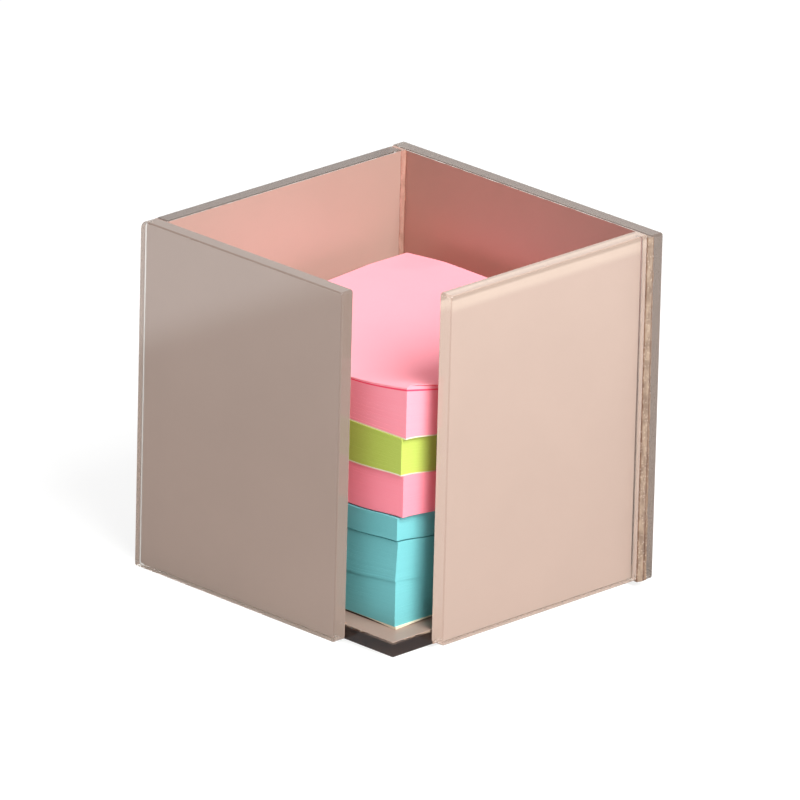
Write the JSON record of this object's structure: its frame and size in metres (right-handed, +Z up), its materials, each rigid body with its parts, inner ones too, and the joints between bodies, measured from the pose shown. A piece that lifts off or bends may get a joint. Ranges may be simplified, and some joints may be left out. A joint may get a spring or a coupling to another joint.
{
  "type": "glass note pad holder",
  "caption": "Open-topped cube of back-painted glass plates with one open upright corner, holding a stack of sticky note pads that lift out.",
  "frame": {"origin": "on the surface that the holder stands on, under the middle of its outline", "axes": "+Z up; +X to the right along the front plate, towards the open corner; +Y to the rear; the open upright corner is at +X -Y"},
  "size_m": [0.1006, 0.0996, 0.1023],
  "materials": {
    "clear_glass": "polished float glass with ground edges",
    "back_paint": "baked enamel on the back of the glass, pale rose beige",
    "cured_adhesive": "clear cured glass adhesive with small bubbles, glossy",
    "bumper_rubber": "clear soft bumper, slightly cloudy",
    "teal_paper": "uncoated coloured paper, cut flush",
    "pink_paper": "uncoated coloured paper, cut flush",
    "green_paper": "uncoated coloured paper, cut flush",
    "backing_card": "thin cream card"
  },
  "bodies": {
    "holder": {"front_panel": "clear_glass", "front_paint": "back_paint", "right_panel": "clear_glass", "right_paint": "back_paint", "rear_panel": "clear_glass", "rear_paint": "back_paint", "left_panel": "clear_glass", "left_paint": "back_paint", "base_panel": "clear_glass", "base_paint": "back_paint", "base_seam_front": "cured_adhesive", "base_seam_rear": "cured_adhesive", "base_seam_left": "cured_adhesive", "base_seam_right": "cured_adhesive", "rear_left_seam": "cured_adhesive", "rear_right_seam": "cured_adhesive", "front_left_seam": "cured_adhesive", "bumper_feet": "bumper_rubber"},
    "teal_bottom_notes": {"teal_bottom_pad": "teal_paper", "teal_backing": "backing_card"},
    "teal_middle_notes": {"teal_middle_pad": "teal_paper"},
    "teal_top_notes": {"teal_top_pad": "teal_paper"},
    "pink_middle_notes": {"pink_middle_pad": "pink_paper", "pink_middle_backing": "backing_card"},
    "green_notes": {"green_pad": "green_paper", "green_backing": "backing_card"},
    "pink_top_notes": {"pink_top_pad": "pink_paper", "pink_top_backing": "backing_card"},
    "free_leaves": {"loose_notes": "pink_paper"}
  },
  "joints": [
    {"name": "teal_bottom_lift", "type": "slide", "parent": "holder", "child": "teal_bottom_notes", "axis": [0, 0, 1], "range_m": [0, 0.0986]},
    {"name": "teal_middle_lift", "type": "slide", "parent": "teal_bottom_notes", "child": "teal_middle_notes", "axis": [0, 0, 1], "range_m": [0, 0.0858]},
    {"name": "teal_top_lift", "type": "slide", "parent": "teal_middle_notes", "child": "teal_top_notes", "axis": [0, 0, 1], "range_m": [0, 0.0741]},
    {"name": "pink_middle_lift", "type": "slide", "parent": "teal_top_notes", "child": "pink_middle_notes", "axis": [0, 0, 1], "range_m": [0, 0.0678]},
    {"name": "green_lift", "type": "slide", "parent": "pink_middle_notes", "child": "green_notes", "axis": [0, 0, 1], "range_m": [0, 0.0556]},
    {"name": "pink_top_lift", "type": "slide", "parent": "green_notes", "child": "pink_top_notes", "axis": [0, 0, 1], "range_m": [0, 0.044]},
    {"name": "leaf_peel", "type": "hinge", "parent": "pink_top_notes", "child": "free_leaves", "pos_m": [0.00247, 0.03825, 0.0732], "axis": [-1, -0.0035, 0], "range_deg": [0, 60]}
  ]
}
